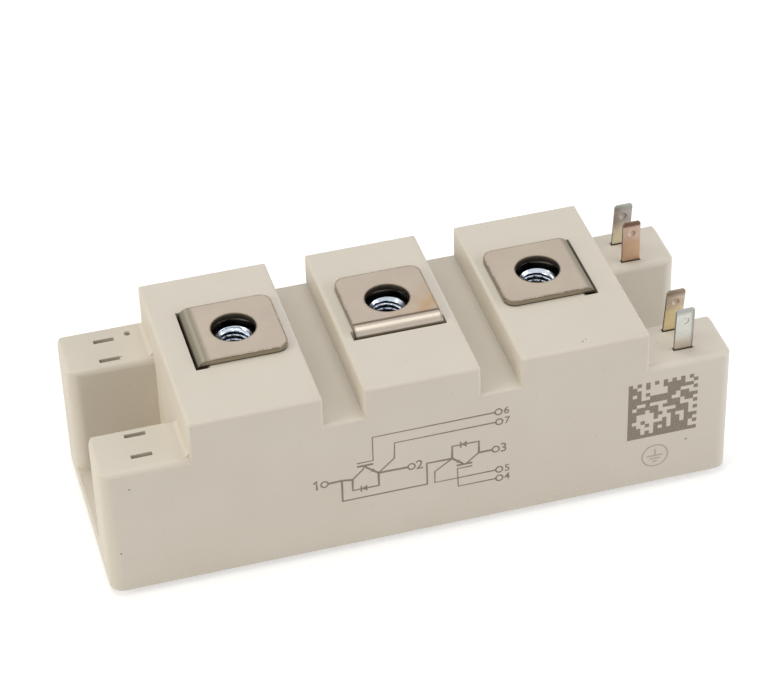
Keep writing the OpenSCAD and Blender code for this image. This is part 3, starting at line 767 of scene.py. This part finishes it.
# nuts with a real thread
def threadRadius(angle, height, tall):
    # 60 degree grooves with narrow flats, opened at both mouths
    pitch = nutPlan["pitch"]
    phase = (height / pitch - angle / (2 * math.pi)) % 1.0
    away = abs(phase - 0.5) * pitch
    rootHalf = pitch / 16  # half the flat at the foot of the groove
    mouthHalf = pitch * 3 / 8  # half the groove's mouth
    groove = (mouthHalf - away) / (mouthHalf - rootHalf)
    radius = nutPlan["minorR"] + nutPlan["threadDepth"] * min(1.0, max(0.0, groove))
    mouth = mouthR - min(height, tall - height)
    return max(radius, mouth)


def makeTap(tall):
    clearSelection()
    bpy.ops.mesh.primitive_cylinder_add(
        vertices=nutPlan["around"],
        radius=nutPlan["minorR"] * mm,
        depth=(tall + 2 * nutPlan["over"]) * mm,
    )
    tap = bpy.context.object
    bpy.ops.object.mode_set(mode="EDIT")
    bpy.ops.mesh.select_all(action="DESELECT")
    bpy.ops.mesh.select_mode(type="EDGE")
    bpy.ops.object.mode_set(mode="OBJECT")
    for edge in tap.data.edges:
        ends = [tap.data.vertices[i].co.z for i in edge.vertices]
        edge.select = abs(ends[0] - ends[1]) > mm
    bpy.ops.object.mode_set(mode="EDIT")
    bpy.ops.mesh.subdivide(number_cuts=nutPlan["cuts"])
    bpy.ops.object.mode_set(mode="OBJECT")
    for vertex in tap.data.vertices:
        angle = math.atan2(vertex.co.y, vertex.co.x)
        radius = threadRadius(angle, vertex.co.z / mm + tall / 2, tall) * mm
        vertex.co.x = radius * math.cos(angle)
        vertex.co.y = radius * math.sin(angle)
    return tap


def combine(body, tool, name, operation):
    change = body.modifiers.new(name, "BOOLEAN")
    change.operation = operation
    change.solver = "EXACT"
    change.object = tool
    applyAll(body)
    bpy.data.objects.remove(tool)


def makeNutBody(across, tall):
    # a hexagon, trimmed by a disc whose rim slopes at 30 degrees
    corner = across / 2 / math.cos(math.pi / 6)
    slope = (corner - across / 2) * math.tan(math.pi / 6)
    clearSelection()
    bpy.ops.mesh.primitive_cylinder_add(
        vertices=nutPlan["cornersAround"],
        radius=(corner + nutPlan["cornerSlack"]) * mm,
        depth=tall * mm,
    )
    lens = bpy.context.object
    bpy.ops.object.mode_set(mode="EDIT")
    bpy.ops.mesh.select_mode(type="FACE")
    for side in (-1, 1):
        bpy.ops.mesh.select_all(action="DESELECT")
        bpy.ops.object.mode_set(mode="OBJECT")
        for face in lens.data.polygons:
            face.select = face.normal.z * side > 0.9
        bpy.ops.object.mode_set(mode="EDIT")
        bpy.ops.mesh.extrude_region_move(TRANSFORM_OT_translate={"value": (0, 0, 0)})
        bpy.ops.transform.resize(value=(across / 2 / corner, across / 2 / corner, 1))
    bpy.ops.object.mode_set(mode="OBJECT")
    for vertex in lens.data.vertices:
        if math.hypot(vertex.co.x, vertex.co.y) > (across / 2 + nutPlan["flatSlack"]) * mm:
            vertex.co.z = math.copysign((tall / 2 - slope) * mm, vertex.co.z)
    clearSelection()
    bpy.ops.mesh.primitive_cylinder_add(
        vertices=6, radius=corner * mm, depth=(tall + nutPlan["spare"]) * mm,
    )
    body = bpy.context.object
    combine(body, lens, "corners", "INTERSECT")
    return body


nutAcross = min(nutHigh.x - nutLow.x, nutHigh.y - nutLow.y) / mm
nutTall = (nutHigh.z - nutLow.z) / mm
nutBody = makeNutBody(nutAcross, nutTall)
combine(nutBody, makeTap(nutTall), "bore", "DIFFERENCE")

# a nut gets a quarter turn where its node lies the other way
nutWide = nutBody.dimensions.x > nutBody.dimensions.y
for index, nutName in enumerate(("phase_nut", "negative_nut", "positive_nut")):
    low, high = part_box(nutName)
    wide = (high.x - low.x) > (high.y - low.y)
    nut = nutBody.copy()
    nut.data = nutBody.data.copy()
    nut.name = nutName.replace("_nut", "Nut")
    bpy.context.scene.collection.objects.link(nut)
    quarter = 0 if wide == nutWide else 90
    nut.rotation_euler[2] = math.radians(quarter + nutPlan["turnEach"] * index)
    nut.location = (low + high) / 2
    settle(nut)
    softenEdges(nut, **softening["nut"])
    dress(nut, zincNut, "nut", nutName)
bpy.data.objects.remove(nutBody)
print("nuts done")


# print on the front face, in mm
printPlan = {
    "line": 0.25,
    "heavy": 0.35,
    "proud": 0.012,
    "ring": 0.52,
    "digit": 2.3,
    "smallDigit": 1.75,
    "digitGap": 1.2,
    "digitBold": 0.025,
}


inkWear = {
    "patchScale": 2.6,
    "wearScale": 7,
    "wearSpan": (0.55, 0.75),
    "share": 0.5,
    "roughness": (0.4, 0.9),
}


def inkMaterial(name, dark, light):
    # patchy ink that lets the plastic through where it is worn
    material, tree, shader = startMaterial(name, IOR=1.45)
    patchy = noiseNode(tree, pointsInMm(tree), inkWear["patchScale"], 4, 0.7)
    colour = mixColour(tree, rampNode(tree, patchy, 0.3, 0.7), dark, light)
    worn = noiseNode(tree, pointsInMm(tree), inkWear["wearScale"], 3)
    worn = rampNode(tree, worn, *inkWear["wearSpan"])
    bare = mathNode(tree, "MULTIPLY", worn, inkWear["share"])
    colour = mixColour(tree, bare, colour, plasticTones["colour"])
    tree.links.new(colour, shader.inputs["Base Color"])
    tree.links.new(rampNode(tree, patchy, 0.0, 1.0, *inkWear["roughness"]), shader.inputs["Roughness"])
    return material


greyInk = inkMaterial("greyInk", (0.215, 0.180, 0.140), (0.280, 0.240, 0.185))
faintInk = inkMaterial("faintInk", (0.430, 0.385, 0.310), (0.520, 0.470, 0.385))
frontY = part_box("housing")[0].y

# the half bridge as lines along X and up Z; the last value is the line's weight
wiring = [
    ([(-14.5, 13.3), (-12.43, 13.35), (-10.84, 13.12)], "heavy"),
    ([(-12.43, 13.35), (-12.43, 9.45), (0.27, 9.45), (0.27, 13.38), (4.09, 13.32)], "heavy"),
    ([(-10.84, 13.12), (-9.22, 14.69), (-9.05, 15.25)], "line"),
    ([(-10.1, 15.32), (-7.7, 15.34)], "heavy"),
    ([(-10.1, 15.95), (-7.7, 15.95), (-7.7, 20.25), (10.6, 20.3)], "line"),
    ([(-8.79, 15.25), (-8.79, 14.97), (-6.96, 13.44)], "heavy"),
    ([(-6.96, 13.44), (-2.55, 13.38)], "heavy"),
    ([(-6.96, 13.44), (-4.55, 15.61), (-4.45, 18.42), (10.7, 18.45)], "line"),
    ([(-10.84, 13.12), (-10.88, 11.1), (-6.96, 11.06), (-6.96, 13.44)], "heavy"),
    ([(4.09, 13.32), (4.12, 15.6), (8.13, 15.56), (8.12, 13.43)], "heavy"),
    ([(8.12, 13.43), (10.15, 13.43)], "heavy"),
    ([(4.09, 13.32), (5.6, 12.05), (5.6, 11.85)], "heavy"),
    ([(6.3, 11.85), (6.4, 12.05), (8.12, 13.43)], "line"),
    ([(4.75, 11.82), (7.1, 11.82)], "heavy"),
    ([(7.1, 11.2), (4.85, 11.2), (4.95, 7.82), (10.7, 7.82)], "line"),
    ([(4.09, 13.32), (1.45, 11.52), (1.4, 9.44), (10.7, 9.44)], "line"),
    ([(-9.6, 10.55), (-9.6, 11.65)], "line"),
    ([(5.4, 15.03), (5.4, 16.13)], "line"),
    ([(-16.62, 13.72), (-16.15, 14.12), (-16.15, 12.5)], "heavy"),
]
# middle of each terminal's ring and the size of its number; the first number is a stroke above
rings = {
    "1": (-15.0, 13.3, None),
    "2": (-2.03, 13.37, "digit"),
    "3": (10.67, 13.43, "digit"),
    "4": (11.2, 7.82, "smallDigit"),
    "5": (11.2, 9.44, "smallDigit"),
    "6": (11.12, 20.3, "smallDigit"),
    "7": (11.22, 18.45, "smallDigit"),
}
# diode and arrow heads: middle, direction in degrees, size
heads = [
    (-9.0, 11.1, 180, 0.62),
    (6.0, 15.58, 180, 0.62),
    (-7.75, 14.1, -40, 0.42),
    (5.05, 12.5, -40, 0.42),
]
earthSign = {
    "x": 35.37,
    "z": 5.96,
    "radius": 2.0,
    "width": 0.24,
    "corners": 32,
    # the stem, and the drop and half length of each bar, as shares of the radius
    "stem": 0.62,
    "bars": [(0, 0.62), (0.27, 0.4), (0.54, 0.18)],
}


def ringPoints(x, z, radius, count=24):
    turns = [index * 2 * math.pi / count for index in range(count + 1)]
    return [(x + radius * math.cos(turn), z + radius * math.sin(turn)) for turn in turns]


def drawStrokes(name, strokes):
    # each stroke is its points and its width, pressed flat with its back sunk in the face
    curve = bpy.data.curves.new(name, "CURVE")
    curve.dimensions = "3D"
    curve.bevel_depth = 1 * mm  # so that a point's radius is in mm
    curve.bevel_resolution = 1
    curve.use_fill_caps = True
    for points, width in strokes:
        spline = curve.splines.new("POLY")
        spline.points.add(len(points) - 1)
        for point, (x, z) in zip(spline.points, points):
            point.co = (x * mm, z * mm, 0, 1)
            point.radius = width / 2
    lines = bpy.data.objects.new(name, curve)
    bpy.context.scene.collection.objects.link(lines)
    pick(lines)
    bpy.ops.object.convert(target="MESH")
    lines = bpy.context.object
    lines.scale = (1, 1, 2 * printPlan["proud"] / printPlan["heavy"])
    settle(lines)
    return lines


def drawHeads():
    made = []
    for x, z, turn, size in heads:
        clearSelection()
        bpy.ops.mesh.primitive_cylinder_add(
            vertices=3, radius=size * mm, depth=printPlan["proud"] * mm,
            location=(x * mm, z * mm, 0), rotation=(0, 0, math.radians(turn - 90)),
        )
        made.append(bpy.context.object)
    return made


def drawDigits():
    made = []
    for digit, (x, z, size) in rings.items():
        if size is None:
            continue
        clearSelection()
        bpy.ops.object.text_add(location=((x + printPlan["digitGap"]) * mm, z * mm, 0))
        text = bpy.context.object
        text.data.body = digit
        text.data.size = printPlan[size] * mm
        text.data.align_x = "CENTER"
        text.data.align_y = "CENTER"
        text.data.offset = printPlan["digitBold"] * mm
        text.data.extrude = printPlan["proud"] * mm / 2
        bpy.ops.object.convert(target="MESH")
        made.append(bpy.context.object)
    return made


def layOnFront(piece, ink):
    # from drawn flat to standing on the front face
    settle(piece)
    piece.rotation_euler = (math.radians(90), 0, 0)
    piece.location = (0, frontY - printPlan["proud"] * mm / 2, 0)
    settle(piece)
    dress(piece, ink, "housing")


wireStrokes = [(points, printPlan[weight]) for points, weight in wiring]
ringStrokes = [(ringPoints(x, z, printPlan["ring"]), printPlan["line"]) for x, z, size in rings.values()]
wires = drawStrokes("wires", wireStrokes + ringStrokes)
wiringPrint = joinAll([wires] + drawHeads() + drawDigits(), "wiringPrint")
layOnFront(wiringPrint, greyInk)

earthX, earthZ, earthR = (earthSign[key] for key in ("x", "z", "radius"))
earthStrokes = [
    ringPoints(earthX, earthZ, earthR, earthSign["corners"]),
    [(earthX, earthZ + earthSign["stem"] * earthR), (earthX, earthZ)],
]
for drop, half in earthSign["bars"]:
    barZ = earthZ - drop * earthR
    earthStrokes.append([(earthX - half * earthR, barZ), (earthX + half * earthR, barZ)])
earthPrint = drawStrokes("earthPrint", [(points, earthSign["width"]) for points in earthStrokes])
layOnFront(earthPrint, faintInk)

# a square code of no meaning: solid foot and left side, dotted head and right side
patchPlan = {
    "left": 30.9,
    "bottom": 9.8,
    "wide": 10.75,
    "tall": 10.3,
    "cells": 16,
    "seed": 7,
    "filled": 0.52,
    "rowOverlap": 1.02,
}


def isDark(row, column, chance):
    last = patchPlan["cells"] - 1
    if column == 0 or row == 0:
        return True
    if row == last:
        return column % 2 == 0
    if column == last:
        return row % 2 == 0
    return chance.random() < patchPlan["filled"]


def drawPatch():
    chance = random.Random(patchPlan["seed"])
    cells = patchPlan["cells"]
    stepX = patchPlan["wide"] / cells
    stepZ = patchPlan["tall"] / cells
    made = []
    for row in range(cells):
        dark = [isDark(row, column, chance) for column in range(cells)] + [False]
        start = None
        for column, filled in enumerate(dark):
            if filled and start is None:
                start = column
            if filled or start is None:
                continue
            middleX = patchPlan["left"] + (start + column) / 2 * stepX
            middleZ = patchPlan["bottom"] + (row + 0.5) * stepZ
            clearSelection()
            wide = (column - start) * stepX
            tall = patchPlan["rowOverlap"] * stepZ
            bpy.ops.mesh.primitive_cube_add(
                size=1,
                location=(middleX * mm, middleZ * mm, 0),
                scale=(wide * mm, tall * mm, printPlan["proud"] * mm),
            )
            made.append(bpy.context.object)
            start = None
    return joinAll(made, "codePatch")


layOnFront(drawPatch(), greyInk)
print("print done")

# the nodes inside, which keep their own meshes; the names are the record's material slots
innerTones = {
    "seal": {"colour": (0.80, 0.80, 0.76), "other": (0.74, 0.74, 0.70), "roughness": 0.6, "metallic": 0},
    "solder": {"colour": (0.40, 0.41, 0.42), "other": (0.30, 0.31, 0.32), "roughness": 0.45, "metallic": 1},
    "copper": {"colour": (0.70, 0.38, 0.22), "other": (0.60, 0.30, 0.17), "roughness": 0.35, "metallic": 1},
    "ceramic": {"colour": (0.86, 0.86, 0.83), "other": (0.80, 0.80, 0.77), "roughness": 0.5, "metallic": 0},
    "igbt_chip": {
        "colour": (0.20, 0.22, 0.28), "other": (0.26, 0.28, 0.33), "roughness": 0.3, "metallic": 1,
    },
    "diode_chip": {
        "colour": (0.28, 0.29, 0.32), "other": (0.34, 0.35, 0.38), "roughness": 0.25, "metallic": 1,
    },
    "wire": {"colour": (0.80, 0.80, 0.80), "other": (0.70, 0.70, 0.71), "roughness": 0.3, "metallic": 1},
}
innerSurface = {"patchScale": 0.9, "roughSpread": 0.08, "grainScale": 4, "bump": 0.1}
gelTones = {
    "colour": (0.90, 0.93, 0.94),
    "cloudColour": (0.82, 0.87, 0.88),
    "cloudScale": 0.15,
    "roughness": (0.1, 0.2),
}
innerMaterials = {}
for slotName, tones in innerTones.items():
    finishName = slotName.replace("_chip", "Chip") + "Finish"
    material, tree, shader = startMaterial(finishName, Metallic=float(tones["metallic"]))
    patchy = noiseNode(tree, pointsInMm(tree), innerSurface["patchScale"], 4, 0.6)
    shade = mixColour(tree, rampNode(tree, patchy, 0.35, 0.65), tones["colour"], tones["other"])
    tree.links.new(shade, shader.inputs["Base Color"])
    smoothest = tones["roughness"] - innerSurface["roughSpread"]
    roughest = tones["roughness"] + innerSurface["roughSpread"]
    tree.links.new(rampNode(tree, patchy, 0.0, 1.0, smoothest, roughest), shader.inputs["Roughness"])
    grain = noiseNode(tree, pointsInMm(tree), innerSurface["grainScale"], 3)
    addBump(tree, shader, grain, innerSurface["bump"], bumpDepths["metal"])
    innerMaterials[slotName] = material

gelMaterial, gelTree, gelShader = startMaterial("clearGel", IOR=1.41, Transmission_Weight=0.85)
gelCloud = noiseNode(gelTree, pointsInMm(gelTree), gelTones["cloudScale"], 3)
gelShare = rampNode(gelTree, gelCloud, 0.3, 0.7)
gelColour = mixColour(gelTree, gelShare, gelTones["colour"], gelTones["cloudColour"])
gelTree.links.new(gelColour, gelShader.inputs["Base Color"])
gelRough = rampNode(gelTree, gelCloud, 0.0, 1.0, *gelTones["roughness"])
gelTree.links.new(gelRough, gelShader.inputs["Roughness"])
innerMaterials["gel"] = gelMaterial

for subpart in frame["record"]["subparts"]:
    material = innerMaterials.get(subpart["material_slot"])
    if material is None:
        continue
    node = frame["nodes"][subpart["node"]]
    node.data.materials.clear()
    node.data.materials.append(material)
print("inner nodes done")
